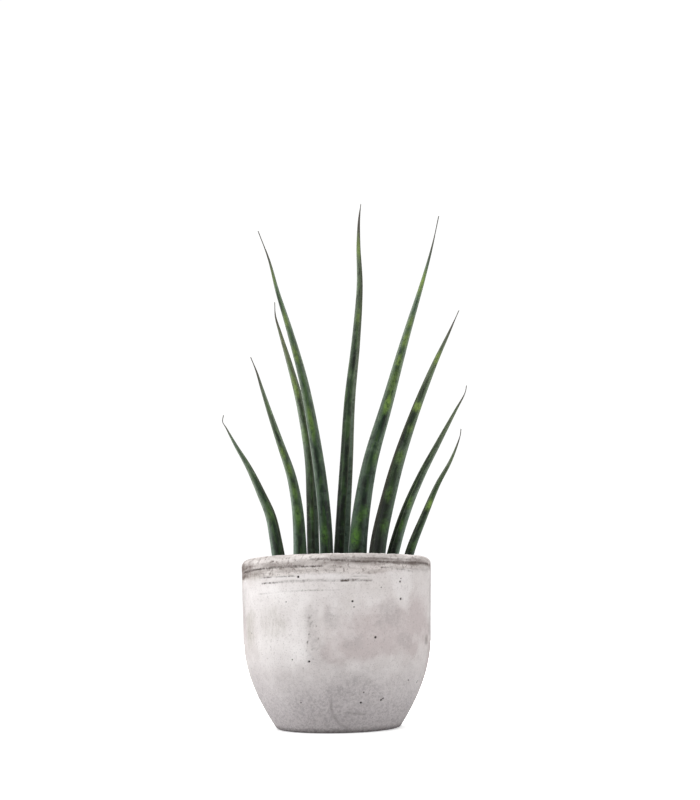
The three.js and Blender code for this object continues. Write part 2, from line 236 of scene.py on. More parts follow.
# Unevenness: how far across its bumps are, how high, the noise's seed and its octaves
WALL_BUMPS = [(42, 0.22, 1, 1), (13, 0.09, 2, 1), (3.6, 0.035, 3, 2)]
LOW_BUMPS = (2.4, 0.035, 4, 1)
BAND_BUMPS = (2.8, 0.09, 6, 2)
LINE_BREAKS = (3.2, 1, 5, 2)
ZONE_WOBBLE = (9, 0.34, 9, 3)
EDGE_WOBBLE = (9, 0.9, 11, 2)
SOIL_LUMPS = (6.5, 0.75, 21, 2)
SOIL_CRUMBS = (3.1, 0.55, 22, 2)
SOIL_GRAINS = (1.3, 0.28, 23, 1)
# Chips in the rim: their bumps, how high on these they begin and are full, and how deep they are
RIM_CHIPS = [((4.5, 1, 7, 2), 0.35, 0.9, 0.5), ((2, 1, 8, 1), 0.2, 0.8, 0.18)]

# The leaves' finer shape, as shares of the radius, radians round it and counts
KEEL_ROUND = 0.05
FLANK_HOLLOW = 0.1
LIP_RISE = (0.035, 0.05)
MARGIN_WIDTH = 0.11
FLUTES = 5
FLUTE_COUNTS = (7, 9, 11, 13, 16)
FLUTE_DEPTHS = (0.004, 0.011)
FLUTE_START = (0.12, 0.5)
FLUTE_TWIST = 0.004
# Slow swellings along a leaf: how long, how high, and the noise's seed
SWELLS = [(23, 0.012, 0), (7, 0.006, 40)]
# The bearing that the painted side sheen and shade face on each side, and the turns from it between which
# they fade
SIDE_LIGHTING_FACES = 100
SIDE_LIGHTING_SPREAD = (38, 94)
# The values kept for each vertex of a leaf, the space that its colours are laid out in, and its tints
LEAF_MASKS = ("grown", "margin", "channel", "lime", "side_lighting", "dark", "hue")
SPACE_RADIUS = 5
SPACE_STEP = 100
BLUER = (0.75, 1.08, 1.2, 1)
BROWNER = (1.25, 1.02, 0.72, 1)

# The soil: heights of its block's rings, and how it rises round each leaf
SOIL_ROWS = (100, 84, 64, 50, 36, 24, FLOOR_THICKNESS + GAP)
FOOT_RISE = 0.9
FOOT_REACH = 2.6
# Loose bits: how many, mesh detail, radius, stretch along x, y and z, lean in radians, how deep they are
# sunk as a share of their height, and seed
BITS = {
    "soil_crumbs": (420, 2, (0.6, 1.9), ((0.8, 1.3), (0.7, 1.1), (0.6, 1)), 3.1, 0.35, 11),
    "soil_bark": (46, 3, (1.4, 3), ((1.1, 1.9), (0.6, 0.9), (0.22, 0.4)), 0.5, 0.3, 12),
    "soil_perlite": (40, 3, (0.7, 1.6), ((0.8, 1.2), (0.8, 1.1), (0.7, 1)), 3.1, 0.35, 13),
}
BIT_MARGIN = 3.2
LUMP_SWELLS = [(1.1, 0.3), (0.45, 0.14)]
LUMP_SHIFT = 50
FIBRE_COUNT = 70
FIBRE_LENGTHS = (5, 13)
FIBRE_RADII = (0.12, 0.3)
FIBRE_LIFT = 0.12
FIBRE_MARGIN = 9

# How finely the pieces are meshed
POT_COLUMNS = 400
POT_ROW = 1
PIT_CUTS = 3
PIT_MARGIN = 0.7
SOIL_CELLS = 205
LEAF_ROW = 1.1
LEAF_SIDES = 60
ROOT_ROWS = 6
ROOT_MARGIN = 4
FIBRE_ROWS = 9
FIBRE_SIDES = 5

# The studio, in metres. A softbox has an azimuth from the front towards +X, an elevation and a power.
FLOOR_CORNERS = [(-4, -4, -0.0002), (4, -4, -0.0002), (4, 4, -0.0002), (-4, 4, -0.0002)]
FLOOR_GLOW = (0.45, 1.2)
SKY_SHOWN = 1.05
SKY_ABOVE = 1.45
SKY_BEHIND = 0.25
SOFTBOX_SIZE = (0.7, 0.9)
SOFTBOX_DISTANCE = 1.5
SOFTBOX_TARGET = (0, 0, 0.16)
SOFTBOXES = {
    "left": (-90, 12, 10),
    "left_front": (-40, 20, 6),
    "left_back": (-150, 12, 4),
    "right": (90, 12, 1.2),
    "right_front": (50, 12, 7),
    "right_back": (140, 12, 1),
    "behind_above": (180, 50, 16),
}
# The camera, in millimetres and degrees, with its focal length and frame in pixels and its sensor's width
EYE = (0, -785, 71.3)
TILT, YAW, ROLL = 12.2, 0.9, 1.0
FOCAL_PIXELS, FRAME_HEIGHT, SENSOR = 1044, 800, 36


def srgb(*screen):
    """A screen colour of 0 to 255 as the linear colour a shader takes."""
    shares = [value / 255 for value in screen]
    return (*[v / 12.92 if v <= 0.04045 else ((v + 0.055) / 1.055) ** 2.4 for v in shares], 1)


def smoothstep(value, low, high):
    """Rises smoothly from 0 at low to 1 at high."""
    share = np.clip((value - low) / (high - low), 0, 1)
    return share * share * (3 - 2 * share)


def unit(vectors):
    """Each row at length 1."""
    return vectors / np.linalg.norm(vectors, axis=1)[:, None]


def turn_from(start, bearing):
    """The turn from one bearing to others, from -180 to 180 degrees."""
    return (bearing - start + 180) % 360 - 180


def lattice(cells, seed):
    """A repeatable number from -1 to 1 for each cell, mixed by large primes."""
    mixed = cells[:, 0] * 73856093 ^ cells[:, 1] * 19349663 ^ cells[:, 2] * 83492791 ^ seed * 2654435
    mixed = ((mixed ^ (mixed >> 13)) & 0x7FFFFFFF) * 1274126177 & 0x7FFFFFFF
    mixed = ((mixed ^ (mixed >> 15)) & 0x7FFFFFFF) * 97531 & 0x7FFFFFFF
    return (mixed >> 8 & 0xFFFF) / 32767.5 - 1


def bumps(points, size, height, seed, octaves):
    """Smooth noise between about -height and height, with bumps of about the given size."""
    total = np.zeros(len(points))
    weight = 1.0
    for octave in range(octaves):
        scaled = points / (size * 0.5 ** octave) + 17.3 * octave
        cells = np.floor(scaled).astype(np.int64)
        share = scaled - cells
        share = share * share * (3 - 2 * share)
        layer = np.zeros(len(points))
        for corner in itertools.product((0, 1), repeat=3):
            picked = np.array(corner)
            nearness = np.where(picked == 1, share, 1 - share).prod(axis=1)
            layer += nearness * lattice(cells + picked, seed + 31 * octave)
        total += weight * layer
        weight *= 0.5
    return height * total


def link(thing):
    bpy.context.scene.collection.objects.link(thing)
    return thing


def add_piece(name, vertices, faces, material, replaces=None):
    """Writes a mesh given in millimetres as a piece that stands with the pot."""
    mesh = bpy.data.meshes.new(name)
    mesh.from_pydata((np.asarray(vertices) * MM).tolist(), [], faces)
    mesh.validate()
    mesh.shade_smooth()
    mesh.materials.append(material)
    piece = link(bpy.data.objects.new(name, mesh))
    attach(piece, "root")
    if replaces:
        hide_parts(replaces)
    return piece


def set_values(piece, name, values):
    """Keeps a number or a vector for each vertex, for the shader."""
    values = np.asarray(values, dtype=np.float32)
    kind, field = ("FLOAT_VECTOR", "vector") if values.ndim == 2 else ("FLOAT", "value")
    piece.data.attributes.new(name, kind, "POINT").data.foreach_set(field, values.ravel())


def pairs_round(count):
    """Each place in a closed ring with the next one."""
    return [(k, (k + 1) % count) for k in range(count)]


def tube_faces(rows, sides):
    """Quads between stacked rings, and a fan at each end round the two points that come last."""
    pairs = pairs_round(sides)
    near, last = rows * sides, (rows - 1) * sides
    faces = [(start + k, start + after, start + sides + after, start + sides + k)
             for start in range(0, last, sides) for k, after in pairs]
    for k, after in pairs:
        faces += [(near, after, k), (near + 1, last + k, last + after)]
    return faces


# The pot

def wall_radius(z, floor, shoulder, floor_radius, shoulder_radius, rim_radius):
    """A wall's radius at a height: drawn in below the shoulder and flared a little above it."""
    drop = np.maximum(0, (shoulder - z) / (shoulder - floor))
    flare = np.maximum(0, (z - shoulder) / (POT_HEIGHT - shoulder))
    drawn_in = (shoulder_radius - floor_radius) * drop ** DRAW_IN_POWER
    return shoulder_radius - drawn_in + flare * (rim_radius - shoulder_radius)


def outer_radius(z):
    return wall_radius(z, 0, SHOULDER_HEIGHT, BASE_RADIUS, SHOULDER_RADIUS, RIM_RADIUS)


def cavity_radius(z):
    return wall_radius(z, FLOOR_THICKNESS, CAVITY_SHOULDER, CAVITY_FLOOR_RADIUS, CAVITY_RADIUS, MOUTH_RADIUS)


def arc(centre_r, centre_z, radius, start, end, steps):
    angles = np.radians(np.linspace(start, end, steps + 1))
    return [(centre_r + radius * math.cos(a), centre_z + radius * math.sin(a)) for a in angles]


def pot_profile():
    """Radius and height from the middle of the base, up the outside, over the rim and down inside."""
    outer_top = POT_HEIGHT - RIM_OUTER_ROUND
    inner_top = POT_HEIGHT - RIM_INNER_ROUND
    foot = np.array((BASE_RADIUS - BASE_ROUND, 0))
    corner = np.array((BASE_RADIUS, 0))
    heel = np.array((outer_radius(BASE_ROUND), BASE_ROUND))
    rows = round((outer_top - BASE_ROUND) / POT_ROW)
    profile = [(radius, 0) for radius in BASE_RINGS]
    profile += [(1 - t) ** 2 * foot + 2 * t * (1 - t) * corner + t ** 2 * heel for t in (0, 0.35, 0.7)]
    profile += [(outer_radius(z), z) for z in np.linspace(BASE_ROUND, outer_top, rows + 1)[:-1]]
    profile += arc(outer_radius(outer_top) - RIM_OUTER_ROUND, outer_top, RIM_OUTER_ROUND, 0, 90, 8)
    profile += arc(cavity_radius(inner_top) + RIM_INNER_ROUND, inner_top, RIM_INNER_ROUND, 90, 180, 5)
    profile += [(cavity_radius(z), z) for z in (*SHOWN_ROWS, *HIDDEN_ROWS)]
    return profile + [(radius, FLOOR_THICKNESS) for radius in FLOOR_RINGS]


def lathe(profile, columns):
    turns = np.linspace(0, 2 * math.pi, columns, endpoint=False)
    rings = [np.column_stack((r * np.cos(turns), r * np.sin(turns), np.full(columns, z))) for r, z in profile]
    ends = [[0, 0, profile[0][1]], [0, 0, profile[-1][1]]]
    return np.vstack((*rings, ends)), tube_faces(len(profile), columns)


def on_wall(bearing, z):
    """The place on the pot's outside at a bearing from the front and a height."""
    radius = outer_radius(np.asarray(z, float))
    angle = np.radians(bearing)
    return np.array([radius * np.sin(angle), -radius * np.cos(angle), z])


def add_back_marks(rng):
    """Adds marks of the same kinds where the photograph doesn't show the pot."""
    for _ in range(BACK_PINHOLES):
        bearing, z = rng.uniform(80, 280), rng.uniform(6, 117)
        PINHOLES.append((bearing, z, rng.choice((0.5, 0.55, 0.65, 0.8, 0.95))))
    for _ in range(BACK_LINES):
        bearing, z, reach = rng.uniform(85, 240), rng.choice((94, 102, 110, 114)), rng.uniform(15, 55)
        height = z + rng.uniform(-1.5, 1.5)
        LINES.append(([(bearing, height), (bearing + reach / 2, height + rng.uniform(-0.6, 0.6)),
                       (bearing + reach, height)], rng.uniform(0.5, 1.1), rng.uniform(0.15, 0.5), 0.15))
    for _ in range(BACK_ZONES):
        kind = rng.choice(("pale", "brown", "olive", "grey", "grey"))
        bearing, z = rng.uniform(85, 275), rng.uniform(12, 118)
        ZONES[kind].append((bearing, z, rng.uniform(5, 26), rng.uniform(4, 18), rng.uniform(0.25, 0.7)))


def refine_near_pinholes(bm):
    """Splits the faces round each pinhole, so that it is a real hollow."""
    centres = np.array([face.calc_center_median() for face in bm.faces])
    chosen = set()
    for bearing, z, radius in PINHOLES:
        distance = np.linalg.norm(centres - on_wall(bearing, z), axis=1)
        chosen.update(np.nonzero(distance < radius * PIT_RIM + PIT_MARGIN)[0].tolist())
    bm.faces.ensure_lookup_table()
    edges = {edge for index in chosen for edge in bm.faces[index].edges}
    bmesh.ops.subdivide_edges(bm, edges=list(edges), cuts=PIT_CUTS, use_grid_fill=True)


def pinhole_marks(points):
    """How far the pinholes push each vertex out, or in below 0, and a mask of them, where their painted shade
    goes.
    """
    pushed = np.zeros(len(points))
    pit = np.zeros(len(points))
    for bearing, z, size in PINHOLES:
        distance = np.linalg.norm(points - on_wall(bearing, z), axis=1) / size
        pushed -= PIT_DEPTH * size * (1 - smoothstep(distance, 0.35, 1.15))
        pushed += PIT_LIP * np.exp(-((distance - PIT_RIM) / 0.35) ** 2)
        pit = np.maximum(pit, 1 - smoothstep(distance, 0.5, 1.05))
    return pushed, pit


def line_distance(bearing, z, path):
    """How far each place on the wall is from a drawn line, along the wall."""
    across = outer_radius(z) * math.pi / 180
    best = np.full(len(z), 1e9)
    for (b0, z0), (b1, z1) in zip(path, path[1:]):
        px, pz = turn_from(b0, bearing) * across, z - z0
        dx, dz = (b1 - b0) * across, z1 - z0
        share = np.clip((px * dx + pz * dz) / (dx * dx + dz * dz), 0, 1)
        best = np.minimum(best, np.hypot(px - share * dx, pz - share * dz))
    return best


def line_marks(points, bearing):
    """How deep the scored lines are at each vertex, and how dark."""
    depth = np.zeros(len(points))
    dark = np.zeros(len(points))
    ragged = bumps(points, *LINE_BREAKS)
    for path, width, strength, groove in LINES:
        wavy = np.abs(line_distance(bearing, points[:, 2], path) + 0.22 * ragged)
        near = np.exp(-(wavy / width) ** 2) * np.clip(0.85 + 0.5 * ragged, 0.25, 1)
        depth += groove * near
        dark += LINE_STRENGTH * strength * near
    return depth, dark


def zone_marks(z, bearing, wobble, zones):
    """How strongly the soft zones of one kind show at each vertex."""
    total = np.zeros(len(z))
    for facing, middle, half_width, half_height, strength in zones:
        sideways = np.abs(turn_from(facing, bearing) * outer_radius(z) * math.pi / 180 / half_width)
        upwards = np.abs(z - middle) / half_height
        reach = (sideways ** 3 + upwards ** 3) ** (1 / 3)
        total += strength * (1 - smoothstep(reach + wobble, 0.5, 1.25))
    return total


def pot_relief(points, band, outside):
    """The cast surface's own unevenness."""
    z = points[:, 2]
    relief = sum(bumps(points, *kind) for kind in WALL_BUMPS)
    relief += (1 - smoothstep(z, 20, 55)) * bumps(points, *LOW_BUMPS)
    relief += band * (bumps(points, *BAND_BUMPS) - BAND_SUNK)
    rim = smoothstep(z, 114, 119)
    for kind, begins, full, depth in RIM_CHIPS:
        relief -= rim * depth * smoothstep(bumps(points, *kind), begins, full)
    return relief * np.where(z < 0.2, 0, 1) * np.where(outside | (z > 100), 1, 0.3)


def wall_marks(points):
    """The pot's masks for the shader, and how far each vertex is pushed out along its normal."""
    z = points[:, 2]
    bearing = np.degrees(np.arctan2(points[:, 0], -points[:, 1]))
    outside = np.hypot(points[:, 0], points[:, 1]) > (outer_radius(z) + cavity_radius(z)) / 2
    edge = np.interp(bearing, BAND_BEARINGS, BAND_EDGE) + bumps(points, *EDGE_WOBBLE)
    band = smoothstep(z - edge, -0.5, 0.5) * outside
    pushed, pit = pinhole_marks(points)
    depth, dark = line_marks(points, bearing)
    wobble = bumps(points, *ZONE_WOBBLE)
    masks = {"dark": dark * outside, "pit": pit, "band": band}
    for kind, zones in ZONES.items():
        masks[kind] = zone_marks(z, bearing, wobble, zones) * outside
    return masks, pushed - depth * outside + pot_relief(points, band, outside)


def make_pot(material):
    add_back_marks(random.Random(4))
    vertices, faces = lathe(pot_profile(), POT_COLUMNS)
    pot = add_piece("concrete_pot", vertices, faces, material, replaces="pot")
    bm = bmesh.new()
    bm.from_mesh(pot.data)
    bmesh.ops.scale(bm, vec=(1 / MM,) * 3, verts=bm.verts)
    refine_near_pinholes(bm)
    bm.normal_update()
    points = np.array([v.co for v in bm.verts])
    normals = np.array([v.normal for v in bm.verts])
    masks, pushed = wall_marks(points)
    for vertex, place in zip(bm.verts, (points + normals * pushed[:, None]) * MM):
        vertex.co = place
    bmesh.ops.triangulate(bm, faces=[f for f in bm.faces if len(f.verts) > 4])
    for face in bm.faces:
        face.smooth = True
    bm.to_mesh(pot.data)
    bm.free()
    for label, values in masks.items():
        set_values(pot, label, values)


# The leaves

def curve_pieces(path):
    """The cubic of each stretch of a centripetal Catmull-Rom curve, as in the part's source."""
    points = [np.array(p, float) for p in path]
    points = [2 * points[0] - points[1], *points, 2 * points[-1] - points[-2]]
    pieces = []
    for before, start, end, after in zip(points, points[1:], points[2:], points[3:]):
        stretches = ((before, start), (start, end), (end, after))
        d0, d1, d2 = (math.sqrt(np.linalg.norm(b - a)) for a, b in stretches)
        t1 = ((start - before) / d0 - (end - before) / (d0 + d1) + (end - start) / d1) * d1
        t2 = ((end - start) / d1 - (after - start) / (d1 + d2) + (after - end) / d2) * d1
        pieces.append((start, t1, 3 * (end - start) - 2 * t1 - t2, 2 * (start - end) + t1 + t2))
    return pieces


def along_curve(path, per_piece=60):
    """Closely spaced places on a leaf's centre line, and how far along it each is."""
    share = np.linspace(0, 1, per_piece, endpoint=False)[:, None]
    places = [c0 + c1 * share + c2 * share ** 2 + c3 * share ** 3 for c0, c1, c2, c3 in curve_pieces(path)]
    places = np.vstack((*places, [path[-1]]))
    steps = np.linalg.norm(np.diff(places, axis=0), axis=1)
    return places, np.concatenate(([0], np.cumsum(steps)))


def leaf_width(leaf, grown):
    taper = (1 - np.clip(grown, 0, 1) ** leaf["belly"]) ** leaf["point"]
    return np.maximum(TIP_WIDTH, leaf["width"] * taper)


def leaf_section(strength):
    """The outline across a leaf of radius 1, from round at strength 0 to the full channel at 1."""
    half = LEAF_SIDES // 6
    share = np.linspace(0, 1, half + 1)
    rim_x, rim_y = math.cos(CHANNEL_HALF), math.sin(CHANNEL_HALF)
    keel = rim_x + (1 - 2 * CHANNEL_DEPTH - rim_x) * strength
    least = math.sqrt(KEEL_ROUND)
    rounded = (np.sqrt(share ** 2 + KEEL_ROUND) - least) / (math.sqrt(1 + KEEL_ROUND) - least)
    flank_x = keel + (rim_x - keel) * rounded - FLANK_HOLLOW * strength * share * (1 - share)
    flank = np.column_stack((flank_x, rim_y * share))
    flank[-1] *= 1 + strength * np.array(LIP_RISE)
    back = np.linspace(CHANNEL_HALF, 2 * math.pi - CHANNEL_HALF, LEAF_SIDES - 2 * half + 1)[1:-1]
    mirrored = flank[:0:-1] * (1, -1)
    return np.vstack((flank, np.column_stack((np.cos(back), np.sin(back))), mirrored))


def leaf_rings(leaf):
    """Each ring's place along a leaf, share of what shows, centre, direction and channel's side."""
    places, travelled = along_curve(leaf["path"])
    length = travelled[-1]
    buried = math.dist(leaf["path"][0], leaf["path"][1])
    fine_from = buried - ROOT_MARGIN
    rows = np.concatenate((np.linspace(0, fine_from, ROOT_ROWS, endpoint=False),
                           np.linspace(fine_from, length, round((length - fine_from) / LEAF_ROW))))

    def at_rows(values):
        return np.column_stack([np.interp(rows, travelled, values[:, i]) for i in range(3)])

    along = unit(at_rows(np.gradient(places, travelled, axis=0)))
    grown = (rows - buried) / (length - buried)
    bearing = np.radians(np.interp(np.clip(grown, 0, 1), (0, 1), leaf["faces"]))
    towards = np.column_stack((np.sin(bearing), -np.cos(bearing), np.zeros(len(rows))))
    towards = unit(towards - (towards * along).sum(axis=1)[:, None] * along)
    return rows, grown, at_rows(places), along, towards


def lime_of(leaf, bearing, grown):
    """How strongly the light blotches show on one ring of a leaf."""
    total = np.zeros(len(bearing))
    for at, facing, half_length, spread, strength in leaf["lime"]:
        behind = (at + BACK_RISE, facing + 180, min(spread, BACK_SPREAD))
        for centre, towards, width in ((at, facing, spread), behind):
            reach = np.hypot((grown - centre) / half_length, turn_from(towards, bearing) / width)
            total = np.maximum(total, strength * (1 - smoothstep(reach, 0.2, 1.3)))
    return total


def side_lighting_of(leaf, bearing, grown):
    """How strongly a painted sheen lights one ring of a leaf, or below 0 how dark painted shade makes it. It
    lies on the sides.
    """
    total = np.zeros(len(bearing))
    for side, facing in (("left", -SIDE_LIGHTING_FACES), ("right", SIDE_LIGHTING_FACES)):
        off = np.abs(turn_from(facing, bearing))
        total += np.interp(grown, SIDE_LIGHTING_AT, leaf[side]) * (1 - smoothstep(off, *SIDE_LIGHTING_SPREAD))
    return total


def make_leaf(number, leaf, material):
    rng = random.Random(number)
    rows, grown, centre, along, towards = leaf_rings(leaf)
    across = np.cross(along, towards)
    radius = leaf_width(leaf, grown) / 2
    strength = smoothstep(1 - grown, 0, CHANNEL_FADE)
    waves = [(rng.choice(FLUTE_COUNTS), rng.uniform(0, FULL_TURN), rng.uniform(*FLUTE_DEPTHS))
             for _ in range(FLUTES)]
    vertices, spaces, masks = [], [], []
    for i, row in enumerate(rows):
        section = leaf_section(strength[i])
        angle = np.arctan2(section[:, 1], section[:, 0])
        size = np.hypot(section[:, 0], section[:, 1])
        past_edge = np.abs(angle) - CHANNEL_HALF
        flute = sum(depth * np.cos(count * angle + phase + FLUTE_TWIST * row * (count % 3))
                    for count, phase, depth in waves)
        fluted = 1 + smoothstep(past_edge, *FLUTE_START) * flute
        section = section * fluted[:, None] * radius[i]
        ring = centre[i] + section[:, :1] * towards[i] + section[:, 1:] * across[i]
        bearing = np.degrees(np.arctan2(ring[:, 0] - centre[i, 0], centre[i, 1] - ring[:, 1]))
        even = np.ones(len(angle))
        vertices.append(ring)
        x, y = SPACE_RADIUS * np.cos(angle), SPACE_RADIUS * np.sin(angle)
        spaces.append(np.column_stack((x, y, even * row)))
        masks.append(np.column_stack((
            even * grown[i],
            np.exp(-(past_edge / MARGIN_WIDTH) ** 2) * (size > 0.8) * strength[i],
            1 - smoothstep(past_edge, -0.05, 0.02),
            lime_of(leaf, bearing, grown[i]),
            side_lighting_of(leaf, bearing, grown[i]),
            even * np.interp(grown[i], DARK_AT, leaf["dark"]),
            even * leaf["hue"],
        )))
    vertices = np.vstack((*vertices, [centre[0], centre[-1] + along[-1] * radius[-1]]))
    swell = 1 + sum(bumps(vertices, size, height, number + seed, 1) for size, height, seed in SWELLS)
    axis = np.repeat(centre, LEAF_SIDES, axis=0)
    vertices[:-2] = axis + (vertices[:-2] - axis) * swell[:-2, None]
    vertices[:, 2] += SOIL_LEVEL
    spaces = np.vstack((*spaces, [0, 0, 0], [0, 0, rows[-1]])) + SPACE_STEP * number
    masks = np.vstack((*masks, masks[0][:1], masks[-1][:1]))
    faces = tube_faces(len(rows), LEAF_SIDES)
    piece = add_piece(f"blade_{number}", vertices, faces, material, replaces=f"leaf_{number}")
    set_values(piece, "leaf_space", spaces)
    for column, label in enumerate(LEAF_MASKS):
        set_values(piece, label, masks[:, column])


# The soil

def soil_height(points):
    """The soil's crumbly surface above the pot's base, where points are x and y."""
    x, y = points[:, 0], points[:, 1]
    flat = np.column_stack((x, y, np.zeros(len(x))))
    height = SOIL_LEVEL + SOIL_MOUND * (1 - 2 * (np.hypot(x, y) / CAVITY_RADIUS) ** 2)
    waves = np.sin(x * 0.43 + 1.3) * np.cos(y * 0.51 - 0.4) + 0.6 * np.sin(0.9 * x - 0.7 * y)
    height += 0.55 * CRUMB_HEIGHT * waves
    height += bumps(flat, *SOIL_LUMPS) + np.abs(bumps(flat, *SOIL_CRUMBS)) + bumps(flat, *SOIL_GRAINS)
    for leaf in LEAVES:
        foot_x, foot_y, _ = leaf["path"][1]
        away = np.hypot(x - foot_x, y - foot_y) - leaf["width"] / 2
        height += FOOT_RISE * np.exp(-(np.maximum(away, 0) / FOOT_REACH) ** 2)
    return height


def disc_points(cells, radius):
    """A square grid drawn out into a disc, with even cells."""
    lines = np.linspace(-1, 1, cells + 1)
    u, v = np.meshgrid(lines, lines, indexing="ij")
    reach = np.maximum(np.abs(u), np.abs(v))
    length = np.hypot(u, v)
    scale = np.divide(reach, length, out=np.zeros_like(length), where=length > 0)
    soft = 0.35
    inner = np.sqrt(np.maximum(0, 1 - 0.5 * np.minimum(np.abs(u), np.abs(v)) ** 2))
    blend = (1 - soft) * scale + soft * inner
    rim = reach ** 4
    scale = rim * scale + (1 - rim) * blend
    return np.column_stack(((u * scale).ravel(), (v * scale).ravel())) * radius


def border_order(cells):
    """The grid's outside vertices, in order round it."""
    side = cells + 1
    last = side * side - 1
    return [*range(0, last - cells, side), *range(last - cells, last), *range(last, cells, -side),
            *range(cells, 0, -1)]


def make_soil(material):
    """A crumbly top on a plain block that fills the pot."""
    flat = disc_points(SOIL_CELLS, cavity_radius(SOIL_LEVEL) - GAP)
    top = np.column_stack((flat, soil_height(flat)))
    side = SOIL_CELLS + 1
    corners = [i * side + j for i in range(SOIL_CELLS) for j in range(SOIL_CELLS)]
    faces = [(a, a + side, a + side + 1, a + 1) for a in corners]
    before = border_order(SOIL_CELLS)
    around = len(before)
    pairs = pairs_round(around)
    outline = unit(top[before][:, :2])
    blocks = [top]
    count = len(top)
    for z in SOIL_ROWS:
        radius = cavity_radius(max(z, FLOOR_THICKNESS + 2)) - GAP
        blocks.append(np.column_stack((outline * radius, np.full(around, z))))
        below = list(range(count, count + around))
        count += around
        faces += [(before[k], below[k], below[after], before[after]) for k, after in pairs]
        before = below
    blocks.append([[0, 0, SOIL_ROWS[-1]]])
    faces += [(before[k], count, before[after]) for k, after in pairs]
    add_piece("potting_soil", np.vstack(blocks), faces, material, replaces="soil")


def lump(rng, detail):
    """A rounded, uneven stone of radius 1 as vertices and faces."""
    bm = bmesh.new()
    bmesh.ops.create_icosphere(bm, subdivisions=detail, radius=1)
    points = np.array([v.co for v in bm.verts])
    faces = [[v.index for v in face.verts] for face in bm.faces]
    bm.free()
    seed = rng.randrange(1, 9999)
    swell = 1 + sum(bumps(points + LUMP_SHIFT, *kind, seed + n, 1) for n, kind in enumerate(LUMP_SWELLS))
    return points * swell[:, None], faces


def clear_spot(rng, reach, gap):
    """A place on the soil that is clear of the leaves."""
    while True:
        angle, radius = rng.uniform(0, 2 * math.pi), reach * math.sqrt(rng.random())
        x, y = radius * math.cos(angle), radius * math.sin(angle)
        if all(math.hypot(x - leaf["path"][1][0], y - leaf["path"][1][1]) > leaf["width"] / 2 + gap
               for leaf in LEAVES):
            return x, y


def turned(rng, lean):
    """A chance turn about the vertical, and a chance lean of up to the given angle."""
    spin = Matrix.Rotation(rng.uniform(0, FULL_TURN), 3, "Z")
    roll = Matrix.Rotation(rng.uniform(-lean, lean), 3, "X")
    pitch = Matrix.Rotation(rng.uniform(-lean, lean), 3, "Y")
    return np.array(roll @ pitch @ spin)


def scatter(name, material, count, detail, sizes, shape, lean, sink, seed):
    """Many loose bits lying on the soil, as one piece."""
    rng = random.Random(seed)
    vertices, faces, total = [], [], 0
    for _ in range(count):
        size = rng.uniform(*sizes)
        points, sides = lump(rng, detail)
        points = points * [size * rng.uniform(low, high) for low, high in shape]
        points = points @ turned(rng, lean).T
        x, y = clear_spot(rng, CAVITY_RADIUS - BIT_MARGIN, size * 0.6 + 0.6)
        lowest = -points[:, 2].min()
        points[:, :2] += (x, y)
        points[:, 2] += soil_height(np.array([[x, y]])) + lowest * (1 - sink)
        vertices.append(points)
        faces += [[total + index for index in side] for side in sides]
        total += len(points)
    add_piece(name, np.vstack(vertices), faces, material)


def fibre_line(rng):
    """The middle line of one fibre on the soil, and the fibre's radius."""
    x, y = clear_spot(rng, CAVITY_RADIUS - FIBRE_MARGIN, 2)
    heading, bend, length = rng.uniform(0, FULL_TURN), rng.uniform(-0.12, 0.12), rng.uniform(*FIBRE_LENGTHS)
    radius = rng.uniform(*FIBRE_RADII)
    line = []
    for _ in range(FIBRE_ROWS):
        line.append((x, y))
        x += math.cos(heading) * length / FIBRE_ROWS
        y += math.sin(heading) * length / FIBRE_ROWS
        heading += bend + rng.uniform(-0.15, 0.15)
    line = np.array(line)
    height = soil_height(line) + radius * 0.6
    height = np.convolve(np.pad(height, 2, mode="edge"), np.ones(5) / 5, mode="valid") + FIBRE_LIFT
    return np.column_stack((line, height)), radius


def make_fibres(material):
    """Thin root and peat fibres lying on the soil."""
    rng = random.Random(77)
    turn = np.linspace(0, 2 * math.pi, FIBRE_SIDES, endpoint=False)[:, None]
    vertices, faces = [], []
    for n in range(FIBRE_COUNT):
        line, radius = fibre_line(rng)
        along = unit(np.gradient(line, axis=0))
        sideways = unit(np.cross(along, (0, 0, 1)))
        upwards = np.cross(sideways, along)
        for i in range(FIBRE_ROWS):
            thin = radius * (0.4 if i in (0, FIBRE_ROWS - 1) else 1)
            vertices.append(line[i] + thin * (np.cos(turn) * upwards[i] + np.sin(turn) * sideways[i]))
        vertices.append(line[[0, -1]])
        start = n * (FIBRE_ROWS * FIBRE_SIDES + 2)
        faces += [[start + index for index in face] for face in tube_faces(FIBRE_ROWS, FIBRE_SIDES)]
    add_piece("soil_fibres", np.vstack(vertices), faces, material)


# Materials

